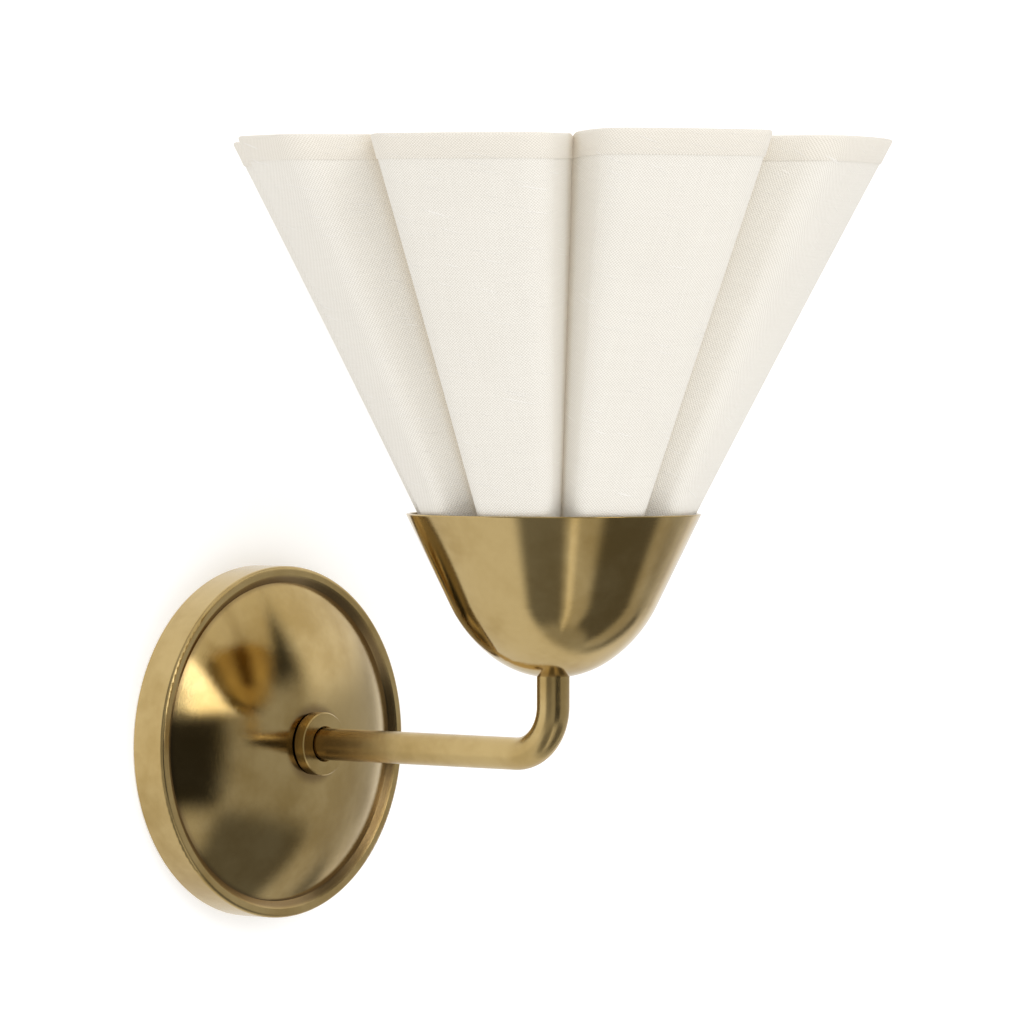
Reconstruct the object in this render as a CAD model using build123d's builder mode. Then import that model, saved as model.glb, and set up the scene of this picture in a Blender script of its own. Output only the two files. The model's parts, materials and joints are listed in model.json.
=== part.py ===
from build123d import *
import os
from math import acos, asin, atan2, cos, degrees, hypot, radians, sin, tan

# Wall light with a lobed linen shade, held to a wall by a slotted bracket.
# Frame: X runs along the wall, -Y points out of the wall into the room, +Z is up.
# The origin is the middle of the bracket's slots, on the wall. All sizes are in millimetres.

os.makedirs("parts", exist_ok=True)

# ---------------------------------------------------------------- fits
RUNNING_GAP = 0.05
SLIDE_GAP = 0.35
SOFT_GAP = 0.3
WELD_GAP = 0.1
SEAT_GAP = 0.05

# ---------------------------------------------------------------- backplate and collar
PLATE_RADIUS = 70.0
PLATE_DEPTH = 15.5
PLATE_SHEET = 1.2
PLATE_EDGE_RADIUS = 1.6
PLATE_LIP_WIDTH = 3.6
PLATE_GROOVE_WIDTH = 3.0
PLATE_GROOVE_DEPTH = 2.0
DOME_RISE = 19.0
COLLAR_RADIUS = 12.5
COLLAR_THICKNESS = 4.7
COLLAR_CHAMFER = 0.4
GRUB_RADIUS = 1.5
GRUB_LENGTH = 4.6
GRUB_SOCKET_RADIUS = 0.8
GRUB_SOCKET_DEPTH = 1.5

# ---------------------------------------------------------------- arm
TUBE_RADIUS = 6.35
TUBE_WALL = 1.3
ARM_REACH = 157.0
BEND_RADIUS = 19.0
CUP_SEAT_HEIGHT = 30.6

# ---------------------------------------------------------------- cup
CUP_RIM_RADIUS = 57.0
CUP_RIM_HEIGHT = 93.3
CUP_WALL = 1.2
CUP_FLOOR_RADIUS = 38.5
CUP_FLOOR_ANGLE = 35.0
CUP_FLANK_ANGLE = 64.2
CUP_SEAT_RADIUS = 7.0

# ---------------------------------------------------------------- threaded tubes, nuts, washers
NIPPLE_RADIUS = 5.0
NIPPLE_BORE_RADIUS = 3.7
NIPPLE_GRIP = 12.0
CUP_NIPPLE_GRIP = 11.0
NUT_FLATS = 14.0
NUT_HEIGHT = 3.0
WASHER_RADIUS = 8.0
WASHER_THICKNESS = 0.8
CUP_WASHER_RADIUS = 6.5
BUSH_FLANGE_RADIUS = 4.8
BUSH_FLANGE_THICKNESS = 1.0
BUSH_LENGTH = 4.0
BUSH_BORE_RADIUS = 2.9

# ---------------------------------------------------------------- wall bracket
BRACKET_SHEET = 2.0
BRACKET_HALF_LENGTH = 52.0
BRACKET_FOOT_START = 27.0
BRACKET_TOP_HALF = 19.0
BRACKET_HEIGHT = 20.0
BRACKET_WIDTH = 26.0
BRACKET_BEND_RADIUS = 2.0
BRACKET_CORNER_RADIUS = 5.0
SLOT_SPACING = 79.4
SLOT_LENGTH = 14.5
SLOT_WIDTH = 5.0
TAB_WIDTH = 24.0
TAB_DROP = 28.0
EARTH_SCREW_X = -33.6
EARTH_SCREW_Z = -9.0
SCREW_SHANK_RADIUS = 1.5
SCREW_HEAD_RADIUS = 3.0
SCREW_HEAD_HEIGHT = 1.8
SCREW_HEAD_EDGE_RADIUS = 0.6
SCREW_SLOT_WIDTH = 0.7
SCREW_SLOT_DEPTH = 0.8
RING_TAG_RADIUS = 3.6
RING_TAG_THICKNESS = 0.8
RING_TAG_BARREL_LENGTH = 5.0
RING_TAG_BARREL_RADIUS = 1.7

# ---------------------------------------------------------------- terminal block
BLOCK_PITCH = 8.0
BLOCK_WAYS = 3
BLOCK_LENGTH = 17.0
BLOCK_DEPTH = 9.0
BLOCK_BASE_WEB = 2.0
BLOCK_TOWER_RADIUS = 2.6
BLOCK_EDGE_RADIUS = 1.0
BLOCK_NOTCH = 1.0
BLOCK_SETBACK = 1.0
BLOCK_SCREW_HEAD_RADIUS = 2.5
INSERT_RADIUS = 2.2
INSERT_BORE_RADIUS = 1.4
INSERT_LENGTH = 13.0
PINCH_SCREW_RADIUS = 1.3
PINCH_SCREW_OFFSET = 4.0
PINCH_SCREW_LENGTH = 3.0

# ---------------------------------------------------------------- leads
LEAD_RADIUS = 1.0
LEAD_SPREAD = 1.45
LEAD_BACK_DEPTH = 6.5
LEAD_ENTRY = 3.0
LEAD_TIGHT_RADIUS = 6.0
LEAD_FREE_RADIUS = 100.0
LEAD_FAIR_SHARE = 0.45
LEAD_RISE = 4.4
LEAD_DROP = 4.0
LEAD_END = 1.0
EARTH_LEAD_CORNER = 8.0

# ---------------------------------------------------------------- lampholder
HOLDER_RADIUS = 19.7
HOLDER_WALL = 1.9
HOLDER_NECK_RADIUS = 8.5
HOLDER_NECK_LENGTH = 6.5
HOLDER_FLOOR = 2.5
HOLDER_BASE_HEIGHT = 28.0
HOLDER_FLARE = 3.5
HOLDER_SKIRT_HEIGHT = 28.0
HOLDER_FLANGE_RADIUS = 24.0
HOLDER_FLANGE_THICKNESS = 2.0
HOLDER_FLANGE_TOP = 12.0
CORE_THICKNESS = 5.0
CORE_GAP = 0.2
SCREW_SHELL_INNER_RADIUS = 13.3
SCREW_SHELL_WALL = 0.5
SCREW_SHELL_HEIGHT = 23.0
CENTRE_CONTACT_RADIUS = 4.0
CENTRE_CONTACT_HEIGHT = 1.6
CONTACT_SLOPE = 1.2
TERMINAL_X = 9.0
TERMINAL_SIZE = 5.0
TERMINAL_HEIGHT = 7.0

# ---------------------------------------------------------------- shade ring
RING_FLANGE_RADIUS = 26.0
RING_FLANGE_THICKNESS = 2.0
RING_BODY_RADIUS = 22.6
RING_HEIGHT = 8.0
RING_NOTCHES = 12
RING_NOTCH_RADIUS = 1.5

# ---------------------------------------------------------------- bulb
BULB_CAP_RADIUS = 13.0
BULB_CAP_WALL = 0.4
BULB_CAP_HEIGHT = 20.0
BULB_TIP_RADIUS = 4.5
BULB_TIP_HEIGHT = 1.3
BULB_INSULATOR_HEIGHT = 4.0
BULB_INSULATOR_TOP_RADIUS = 11.0
BULB_INSULATOR_STEP = 1.0
BULB_GLASS_RADIUS = 17.5
BULB_GLASS_WALL = 0.8
BULB_NECK_OVERLAP = 4.0
BULB_NECK_RISE = 1.0
BULB_SHOULDER_HEIGHT = 16.0
BULB_LENGTH = 105.0

# ---------------------------------------------------------------- shade
SHADE_LOBES = 8
SHADE_TOP_HEIGHT = 236.5
SHADE_TOP_CREST = 130.0
SHADE_VALLEY_SHARE = 0.777
SHADE_SHOULDER = 13.0
SHADE_CREST_HALF_ANGLE = 12.5
SHADE_DEPTH_IN_CUP = 31.0
LINEN_THICKNESS = 0.5
LINER_THICKNESS = 0.4
LAYER_GAP = 0.05
HEM_HEIGHT = 9.0
HEM_THICKNESS = 0.5
HEM_FOLD = 0.5
TOP_WIRE_SIZE = 2.2
BOTTOM_WIRE_RADIUS = 1.2
RIB_RADIUS = 1.0
SPIDER_WIRE_RADIUS = 1.2
SPIDER_ARMS = 4
FITTER_RADIUS = 27.5
FITTER_THICKNESS = 1.5
FITTER_HOLE_RADIUS = 20.6

# ================================================================ places worked out from the sizes
ARM_PLANE = Plane(origin=(0, -ARM_REACH, 0), x_dir=(1, 0, 0), z_dir=(0, -1, 0))
LAMP_AXIS = Axis((0, -ARM_REACH, 0), (0, 0, 1))


def level(height):
    """Horizontal plane on the lamp's upright axis at a height above the arm."""
    return Plane(origin=(0, -ARM_REACH, height), x_dir=(1, 0, 0), z_dir=(0, 0, 1))


def depth(distance):
    """Plane parallel to the wall at a distance out from it, facing the room."""
    return Plane(origin=(0, -distance, 0), x_dir=(1, 0, 0), z_dir=(0, -1, 0))


def save(builder, name):
    """Label a finished piece and write its file."""
    builder.part.label = name
    export_step(builder.part, f"parts/{name}.step")


dome_base_radius = PLATE_RADIUS - PLATE_LIP_WIDTH - PLATE_GROOVE_WIDTH
dome_base_depth = PLATE_DEPTH - PLATE_GROOVE_DEPTH
dome_top_depth = dome_base_depth + DOME_RISE
dome_curve = (dome_base_radius**2 + DOME_RISE**2) / (2 * DOME_RISE)
plate_hole_radius = TUBE_RADIUS + SLIDE_GAP
collar_back = dome_top_depth + SEAT_GAP
collar_front = collar_back + COLLAR_THICKNESS
tube_bore = TUBE_RADIUS - TUBE_WALL

bracket_nut_back = BRACKET_HEIGHT - BRACKET_SHEET - WASHER_THICKNESS - NUT_HEIGHT
wall_nipple_end = bracket_nut_back - BUSH_FLANGE_THICKNESS
cup_floor = CUP_SEAT_HEIGHT + CUP_WALL
cup_nut_base = cup_floor + WASHER_THICKNESS
holder_base = cup_nut_base + NUT_HEIGHT
cup_nipple_top = holder_base + HOLDER_NECK_LENGTH + HOLDER_FLOOR
holder_joint = holder_base + HOLDER_BASE_HEIGHT
flange_top = holder_joint + HOLDER_FLANGE_TOP
ring_base = flange_top + FITTER_THICKNESS
core_top = holder_joint + CORE_THICKNESS
bulb_base = core_top + CENTRE_CONTACT_HEIGHT + SEAT_GAP

block_centre_x = BRACKET_HALF_LENGTH - TAB_WIDTH / 2
block_top_z = -BRACKET_WIDTH / 2 - BLOCK_SETBACK
pole_heights = [block_top_z - (way + 0.5) * BLOCK_PITCH for way in range(BLOCK_WAYS)]
pole_depth = BRACKET_SHEET + BLOCK_BASE_WEB + INSERT_RADIUS
block_front = BRACKET_SHEET + BLOCK_DEPTH
pinch_places = [(block_centre_x + side * PINCH_SCREW_OFFSET, z) for side in (-1, 1) for z in pole_heights]
block_screw_z = (pole_heights[0] + pole_heights[1]) / 2

cup_inner_rim = CUP_RIM_RADIUS - CUP_WALL / sin(radians(CUP_FLANK_ANGLE))
rim_crest = cup_inner_rim - SOFT_GAP
shade_slope = (SHADE_TOP_CREST - rim_crest) / (SHADE_TOP_HEIGHT - CUP_RIM_HEIGHT)
shade_apex = SHADE_TOP_HEIGHT - SHADE_TOP_CREST / shade_slope
shade_bottom = CUP_RIM_HEIGHT - SHADE_DEPTH_IN_CUP
lobe_angle = 360 / SHADE_LOBES
shade_skin = LINEN_THICKNESS + LAYER_GAP + LINER_THICKNESS


def crest_at(height):
    """Radius of the linen's lobe crests at a height."""
    return shade_slope * (height - shade_apex)


def lobe_corners(height):
    """Shoulder centre, valley point, flank angle and turn of one lobe that points along +X."""
    crest = crest_at(height)
    scale = crest / SHADE_TOP_CREST
    shoulder = SHADE_SHOULDER * scale
    centre = Vector(crest - shoulder, 0).rotate(Axis.Z, SHADE_CREST_HALF_ANGLE)
    valley = Vector(crest * SHADE_VALLEY_SHARE, 0).rotate(Axis.Z, lobe_angle / 2)
    reach = valley - centre
    flank_angle = degrees(atan2(reach.Y, reach.X)) - degrees(acos(shoulder / reach.length))
    return crest, shoulder, centre, valley, flank_angle


def valley_inset(height, inset):
    """How far the valley point moves towards the axis when the outline is moved inwards."""
    flank_angle = lobe_corners(height)[4]
    half_corner = lobe_angle / 2 + 90 - flank_angle
    return inset / sin(radians(half_corner))


def valley_at(height, inset=0.0):
    """Radius of the outline's valleys at a height, moved inwards by an inset."""
    return lobe_corners(height)[3].length - valley_inset(height, inset)


def lobed_outline(height, inset):
    """Closed outline of the lobed shade at a height: a crest arc, two shoulder arcs and two flanks a lobe."""
    crest, shoulder, centre, valley, flank_angle = lobe_corners(height)
    valley_point = valley * (valley_at(height, inset) / valley.length)
    radius = shoulder - inset
    turn = flank_angle - SHADE_CREST_HALF_ANGLE
    flank_top = centre + Vector(radius, 0).rotate(Axis.Z, flank_angle)
    for lobe in range(SHADE_LOBES):
        middle = (lobe + 0.5) * lobe_angle - 90
        here = centre.rotate(Axis.Z, middle)
        mirrored = Vector(centre.X, -centre.Y).rotate(Axis.Z, middle)
        Line(
            Vector(valley_point.X, -valley_point.Y).rotate(Axis.Z, middle),
            Vector(flank_top.X, -flank_top.Y).rotate(Axis.Z, middle),
        )
        CenterArc(mirrored, radius, middle - flank_angle, turn)
        CenterArc((0, 0), crest - inset, middle - SHADE_CREST_HALF_ANGLE, 2 * SHADE_CREST_HALF_ANGLE)
        CenterArc(here, radius, middle + SHADE_CREST_HALF_ANGLE, turn)
        Line(flank_top.rotate(Axis.Z, middle), valley_point.rotate(Axis.Z, middle))


def lobed_frustum(low, high, outer_inset, inner_inset):
    """Open lobed cone between two heights and two insets."""
    with BuildPart() as skin:
        for height in (low, high):
            with BuildSketch(level(height)):
                with BuildLine():
                    lobed_outline(height, outer_inset)
                make_face()
        loft(ruled=True)
        for height in (low, high):
            with BuildSketch(level(height)):
                with BuildLine():
                    lobed_outline(height, inner_inset)
                make_face()
        loft(ruled=True, mode=Mode.SUBTRACT)
    return skin.part


def pan_screw(shank_length, head_radius=SCREW_HEAD_RADIUS, shank_radius=SCREW_SHANK_RADIUS):
    """Slotted pan-head screw, head up, with the underside of its head on the XY plane."""
    with BuildPart() as screw:
        Cylinder(head_radius, SCREW_HEAD_HEIGHT, align=(Align.CENTER, Align.CENTER, Align.MIN))
        fillet(screw.edges().group_by(Axis.Z)[-1], SCREW_HEAD_EDGE_RADIUS)
        Cylinder(shank_radius, shank_length, align=(Align.CENTER, Align.CENTER, Align.MAX))
        with Locations((0, 0, SCREW_HEAD_HEIGHT)):
            Box(
                2 * head_radius,
                SCREW_SLOT_WIDTH,
                2 * SCREW_SLOT_DEPTH,
                mode=Mode.SUBTRACT,
            )
    return screw.part


# ================================================================ backplate: spun dish on the wall
def dish_profile(inset):
    """Half section of the backplate's sheet from the rim's wall edge to the centre, moved inwards."""
    lip_inner = dome_base_radius + PLATE_GROOVE_WIDTH
    groove_turn = inset * tan(atan2(PLATE_GROOVE_DEPTH, PLATE_GROOVE_WIDTH) / 2)
    dome_radius = dome_curve - inset
    dome_centre = dome_curve - dome_top_depth
    base_angle = asin(dome_base_radius / dome_curve)
    dome_base = (dome_radius * sin(base_angle), dome_centre - dome_radius * cos(base_angle))
    return [
        (PLATE_RADIUS - inset, 0),
        (PLATE_RADIUS - inset, -PLATE_DEPTH + inset),
        (lip_inner - groove_turn, -PLATE_DEPTH + inset),
        dome_base,
        (0, -dome_top_depth + inset),
        (dome_radius * sin(base_angle / 2), dome_centre - dome_radius * cos(base_angle / 2)),
    ]


with BuildPart() as backplate:
    with BuildSketch(Plane.XY) as dish_section:
        with BuildLine():
            outer = dish_profile(0)
            inner = dish_profile(PLATE_SHEET)
            Polyline(outer[0], outer[1], outer[2], outer[3])
            ThreePointArc(outer[3], outer[5], outer[4])
            Line(outer[4], inner[4])
            ThreePointArc(inner[4], inner[5], inner[3])
            Polyline(inner[3], inner[2], inner[1], inner[0])
            Line(inner[0], outer[0])
        make_face()
        fillet(dish_section.vertices().group_by(Axis.X)[-1].sort_by(Axis.Y)[0], PLATE_EDGE_RADIUS)
    revolve(axis=Axis.Y)
    with BuildSketch(depth(dome_top_depth)):
        Circle(plate_hole_radius)
    extrude(amount=-DOME_RISE, mode=Mode.SUBTRACT)
save(backplate, "backplate")

# ================================================================ collar and its grub screw
with BuildPart() as collar:
    with BuildSketch(depth(collar_back)):
        Circle(COLLAR_RADIUS)
        Circle(plate_hole_radius, mode=Mode.SUBTRACT)
    extrude(amount=COLLAR_THICKNESS)
    chamfer(collar.edges().filter_by(GeomType.CIRCLE).group_by(Axis.Y)[0], COLLAR_CHAMFER)
    with BuildSketch(Plane.XY):
        with Locations((0, -(collar_back + collar_front) / 2)):
            Circle(GRUB_RADIUS + RUNNING_GAP)
    extrude(amount=-COLLAR_RADIUS, mode=Mode.SUBTRACT)
save(collar, "collar")

with BuildPart() as collar_grub_screw:
    with BuildSketch(Plane.XY.offset(-COLLAR_RADIUS + SEAT_GAP)):
        with Locations((0, -(collar_back + collar_front) / 2)):
            Circle(GRUB_RADIUS)
    extrude(amount=GRUB_LENGTH)
    with BuildSketch(Plane.XY.offset(-COLLAR_RADIUS + SEAT_GAP)):
        with Locations((0, -(collar_back + collar_front) / 2)):
            RegularPolygon(GRUB_SOCKET_RADIUS, 6)
    extrude(amount=GRUB_SOCKET_DEPTH, mode=Mode.SUBTRACT)
save(collar_grub_screw, "collar_grub_screw")

# ================================================================ arm: one bent tube
with BuildPart() as arm:
    with BuildLine(Plane.YZ) as arm_route:
        run = Line((-BRACKET_HEIGHT, 0), (-ARM_REACH + BEND_RADIUS, 0))
        bend = RadiusArc(run @ 1, (-ARM_REACH, BEND_RADIUS), BEND_RADIUS)
        Line(bend @ 1, (-ARM_REACH, CUP_SEAT_HEIGHT))
    with BuildSketch(depth(BRACKET_HEIGHT)):
        Circle(TUBE_RADIUS)
        Circle(tube_bore, mode=Mode.SUBTRACT)
    sweep(path=arm_route.line)
save(arm, "arm")

# ================================================================ cup: spun bowl
floor_start = degrees(asin(CUP_SEAT_RADIUS / CUP_FLOOR_RADIUS))
floor_run = CUP_FLOOR_RADIUS * sin(radians(CUP_FLOOR_ANGLE))
floor_drop = CUP_FLOOR_RADIUS * (cos(radians(floor_start)) - cos(radians(CUP_FLOOR_ANGLE)))
flank_lean = 1 / tan(radians(CUP_FLANK_ANGLE))
side_run = sin(radians(CUP_FLANK_ANGLE)) - sin(radians(CUP_FLOOR_ANGLE))
side_rise = cos(radians(CUP_FLOOR_ANGLE)) - cos(radians(CUP_FLANK_ANGLE))
rim_above_floor = CUP_RIM_HEIGHT - CUP_SEAT_HEIGHT - floor_drop
cup_side_radius = (CUP_RIM_RADIUS - floor_run - rim_above_floor * flank_lean) / (
    side_run - side_rise * flank_lean
)


def bowl_profile(inset):
    """Half section of the bowl's sheet from its axis to its rim, moved inwards by an inset."""
    seat = CUP_SEAT_RADIUS * (CUP_FLOOR_RADIUS - inset) / CUP_FLOOR_RADIUS
    base = Line((0, CUP_SEAT_HEIGHT + inset), (seat, CUP_SEAT_HEIGHT + inset))
    start = Vector(cos(radians(floor_start)), sin(radians(floor_start)))
    floor = JernArc(base @ 1, start, CUP_FLOOR_RADIUS - inset, CUP_FLOOR_ANGLE - floor_start)
    side = JernArc(floor @ 1, floor % 1, cup_side_radius - inset, CUP_FLANK_ANGLE - CUP_FLOOR_ANGLE)
    rim_radius = (side @ 1).X + (CUP_RIM_HEIGHT - (side @ 1).Y) * flank_lean
    flank = Line(side @ 1, (rim_radius, CUP_RIM_HEIGHT))
    return base, flank


with BuildPart() as cup:
    with BuildSketch(ARM_PLANE):
        with BuildLine():
            outer_base, outer_flank = bowl_profile(0)
            inner_base, inner_flank = bowl_profile(CUP_WALL)
            Line(outer_base @ 0, inner_base @ 0)
            Line(outer_flank @ 1, inner_flank @ 1)
        make_face()
    revolve(axis=LAMP_AXIS)
    fillet(cup.edges().group_by(Axis.Z)[-1], CUP_WALL / 3)
    with BuildSketch(level(CUP_SEAT_HEIGHT)):
        Circle(NIPPLE_RADIUS + RUNNING_GAP)
    extrude(amount=2 * CUP_WALL, mode=Mode.SUBTRACT)
save(cup, "cup")


# ================================================================ threaded tubes, nuts, washers, bushes
def tube_between(start, length, outer, bore):
    """Round tube from a plane along its normal."""
    with BuildPart() as tube:
        with BuildSketch(start):
            Circle(outer)
            Circle(bore, mode=Mode.SUBTRACT)
        extrude(amount=length)
    return tube.part


def hex_nut(start):
    """Hexagon nut that fits the threaded tubes, on a plane."""
    with BuildPart() as nut:
        with BuildSketch(start):
            RegularPolygon(NUT_FLATS / 2, 6, major_radius=False)
            Circle(NIPPLE_RADIUS + RUNNING_GAP, mode=Mode.SUBTRACT)
        extrude(amount=NUT_HEIGHT)
    return nut.part


def lead_bush(start):
    """Flanged plastic bush that lines the end of a threaded tube; its flange is before the plane."""
    with BuildPart() as bush:
        with BuildSketch(start):
            Circle(BUSH_FLANGE_RADIUS)
        extrude(amount=-BUSH_FLANGE_THICKNESS)
        with BuildSketch(start):
            Circle(NIPPLE_BORE_RADIUS - RUNNING_GAP)
        extrude(amount=BUSH_LENGTH)
        fillet(bush.edges().filter_by(GeomType.CIRCLE).group_by(SortBy.RADIUS)[-1], BUSH_FLANGE_THICKNESS / 3)
        with BuildSketch(start.offset(-BUSH_FLANGE_THICKNESS)):
            Circle(BUSH_BORE_RADIUS)
        extrude(amount=BUSH_FLANGE_THICKNESS + BUSH_LENGTH, mode=Mode.SUBTRACT)
    return bush.part


with BuildPart() as wall_nipple:
    add(
        tube_between(
            depth(bracket_nut_back),
            BRACKET_HEIGHT - bracket_nut_back + NIPPLE_GRIP,
            NIPPLE_RADIUS,
            NIPPLE_BORE_RADIUS,
        )
    )
save(wall_nipple, "wall_nipple")

with BuildPart() as bracket_nut:
    add(hex_nut(depth(bracket_nut_back)))
save(bracket_nut, "bracket_nut")

with BuildPart() as bracket_washer:
    add(
        tube_between(
            depth(bracket_nut_back + NUT_HEIGHT),
            WASHER_THICKNESS,
            WASHER_RADIUS,
            NIPPLE_RADIUS + RUNNING_GAP,
        )
    )
save(bracket_washer, "bracket_washer")

with BuildPart() as wall_lead_bush:
    add(lead_bush(depth(bracket_nut_back)))
save(wall_lead_bush, "wall_lead_bush")

with BuildPart() as cup_nipple:
    add(
        tube_between(
            level(CUP_SEAT_HEIGHT - CUP_NIPPLE_GRIP),
            cup_nipple_top - CUP_SEAT_HEIGHT + CUP_NIPPLE_GRIP,
            NIPPLE_RADIUS,
            NIPPLE_BORE_RADIUS,
        )
    )
save(cup_nipple, "cup_nipple")

with BuildPart() as cup_washer:
    add(tube_between(level(cup_floor), WASHER_THICKNESS, CUP_WASHER_RADIUS, NIPPLE_RADIUS + RUNNING_GAP))
save(cup_washer, "cup_washer")

with BuildPart() as cup_nut:
    add(hex_nut(level(cup_nut_base)))
save(cup_nut, "cup_nut")

with BuildPart() as holder_lead_bush:
    add(lead_bush(Plane(origin=(0, -ARM_REACH, cup_nipple_top), x_dir=(1, 0, 0), z_dir=(0, 0, -1))))
save(holder_lead_bush, "holder_lead_bush")

# ================================================================ wall bracket: pressed strap with a tab
with BuildPart() as wall_bracket:
    with BuildSketch(Plane.XY) as strap_section:
        with BuildLine():
            top = BRACKET_HEIGHT
            sheet = BRACKET_SHEET
            lean = (BRACKET_FOOT_START - BRACKET_TOP_HALF) / (BRACKET_HEIGHT - BRACKET_SHEET)
            shift = sheet * (hypot(1, lean) - lean)
            Polyline(
                (-BRACKET_HALF_LENGTH, 0),
                (-BRACKET_FOOT_START, 0),
                (-BRACKET_TOP_HALF, -(top - sheet)),
                (BRACKET_TOP_HALF, -(top - sheet)),
                (BRACKET_FOOT_START, 0),
                (BRACKET_HALF_LENGTH, 0),
                (BRACKET_HALF_LENGTH, -sheet),
                (BRACKET_FOOT_START + shift, -sheet),
                (BRACKET_TOP_HALF + shift, -top),
                (-BRACKET_TOP_HALF - shift, -top),
                (-BRACKET_FOOT_START - shift, -sheet),
                (-BRACKET_HALF_LENGTH, -sheet),
                close=True,
            )
        make_face()
    extrude(amount=BRACKET_WIDTH / 2, both=True)
    foot_end = BRACKET_HALF_LENGTH - sheet
    bends = wall_bracket.edges().filter_by(Axis.Z).filter_by(lambda e: abs(e.center().X) < foot_end)
    fillet(bends, BRACKET_BEND_RADIUS)
    with BuildSketch(Plane.XZ):
        with Locations((block_centre_x, -TAB_DROP / 2)):
            Rectangle(TAB_WIDTH, BRACKET_WIDTH + TAB_DROP)
    extrude(amount=sheet)
    corners = wall_bracket.edges().filter_by(Axis.Y).filter_by(lambda e: abs(e.center().X) > foot_end)
    fillet(corners, BRACKET_CORNER_RADIUS)
    with BuildSketch(Plane.XZ):
        with Locations((-SLOT_SPACING / 2, 0), (SLOT_SPACING / 2, 0)):
            SlotOverall(SLOT_LENGTH, SLOT_WIDTH)
        with Locations((EARTH_SCREW_X, EARTH_SCREW_Z)):
            Circle(SCREW_SHANK_RADIUS + RUNNING_GAP)
        with Locations((block_centre_x, block_screw_z)):
            Circle(SCREW_SHANK_RADIUS + RUNNING_GAP)
        Circle(NIPPLE_RADIUS + RUNNING_GAP)
    extrude(amount=2 * top, mode=Mode.SUBTRACT)
save(wall_bracket, "wall_bracket")

# ================================================================ earth screw and ring tag
with BuildPart() as earth_ring_tag:
    with BuildSketch(depth(BRACKET_SHEET)):
        with Locations((EARTH_SCREW_X, EARTH_SCREW_Z)):
            Circle(RING_TAG_RADIUS)
            Circle(SCREW_SHANK_RADIUS + RUNNING_GAP, mode=Mode.SUBTRACT)
    extrude(amount=RING_TAG_THICKNESS)
    tag_barrel_top = EARTH_SCREW_Z - SCREW_HEAD_RADIUS - WELD_GAP
    with BuildSketch(Plane.XY.offset(tag_barrel_top)):
        with Locations((EARTH_SCREW_X, -BRACKET_SHEET - RING_TAG_BARREL_RADIUS)):
            Circle(RING_TAG_BARREL_RADIUS)
            Circle(LEAD_RADIUS, mode=Mode.SUBTRACT)
    extrude(amount=-RING_TAG_BARREL_LENGTH)
save(earth_ring_tag, "earth_ring_tag")

with BuildPart() as bracket_earth_screw:
    add(
        pan_screw(BRACKET_SHEET + RING_TAG_THICKNESS).moved(
            Plane(
                origin=(EARTH_SCREW_X, -BRACKET_SHEET - RING_TAG_THICKNESS, EARTH_SCREW_Z),
                x_dir=(1, 0, 0),
                z_dir=(0, -1, 0),
            ).location
        )
    )
save(bracket_earth_screw, "bracket_earth_screw")

# ================================================================ terminal block on the bracket's tab
with BuildPart() as terminal_block:
    with BuildSketch(depth(BRACKET_SHEET)):
        for z in pole_heights:
            with Locations((block_centre_x, z)):
                Rectangle(BLOCK_LENGTH, BLOCK_PITCH - BLOCK_NOTCH)
        with Locations((block_centre_x, pole_heights[1])):
            Rectangle(BLOCK_LENGTH / 2, BLOCK_PITCH * (BLOCK_WAYS - 1))
    extrude(amount=BLOCK_DEPTH - BLOCK_BASE_WEB)
    fillet(terminal_block.edges().filter_by(Axis.X).group_by(Axis.Y)[0], BLOCK_EDGE_RADIUS)
    with BuildSketch(depth(BRACKET_SHEET)):
        with Locations(*pinch_places):
            Circle(BLOCK_TOWER_RADIUS)
    extrude(amount=BLOCK_DEPTH)
    with BuildSketch(Plane.YZ.offset(block_centre_x - BLOCK_LENGTH / 2)):
        with Locations(*[(-pole_depth, z) for z in pole_heights]):
            Circle(INSERT_RADIUS + RUNNING_GAP)
    extrude(amount=BLOCK_LENGTH, mode=Mode.SUBTRACT)
    with BuildSketch(depth(pole_depth)):
        with Locations(*pinch_places):
            Circle(PINCH_SCREW_RADIUS + 2 * RUNNING_GAP)
        with Locations((block_centre_x, block_screw_z)):
            Circle(SCREW_SHANK_RADIUS + RUNNING_GAP)
    extrude(amount=BLOCK_DEPTH, mode=Mode.SUBTRACT)
    with BuildSketch(depth(0)):
        with Locations((block_centre_x, block_screw_z)):
            Circle(SCREW_SHANK_RADIUS + RUNNING_GAP)
    extrude(amount=block_front, mode=Mode.SUBTRACT)
save(terminal_block, "terminal_block")

with BuildPart() as terminal_inserts:
    with BuildSketch(Plane.YZ.offset(block_centre_x - INSERT_LENGTH / 2)):
        with Locations(*[(-pole_depth, z) for z in pole_heights]):
            Circle(INSERT_RADIUS)
            Circle(INSERT_BORE_RADIUS, mode=Mode.SUBTRACT)
    extrude(amount=INSERT_LENGTH)
    with BuildSketch(depth(pole_depth)):
        with Locations(*pinch_places):
            Circle(PINCH_SCREW_RADIUS + RUNNING_GAP)
    extrude(amount=BLOCK_DEPTH, mode=Mode.SUBTRACT)
save(terminal_inserts, "terminal_inserts")

with BuildPart() as terminal_pinch_screws:
    with BuildSketch(depth(pole_depth + LEAD_RADIUS + RUNNING_GAP)):
        with Locations(*pinch_places):
            Circle(PINCH_SCREW_RADIUS)
    extrude(amount=PINCH_SCREW_LENGTH)
    with BuildSketch(depth(pole_depth + LEAD_RADIUS + RUNNING_GAP + PINCH_SCREW_LENGTH)):
        with Locations(*pinch_places):
            Rectangle(3 * PINCH_SCREW_RADIUS, SCREW_SLOT_WIDTH)
    extrude(amount=-SCREW_SLOT_DEPTH, mode=Mode.SUBTRACT)
save(terminal_pinch_screws, "terminal_pinch_screws")

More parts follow.
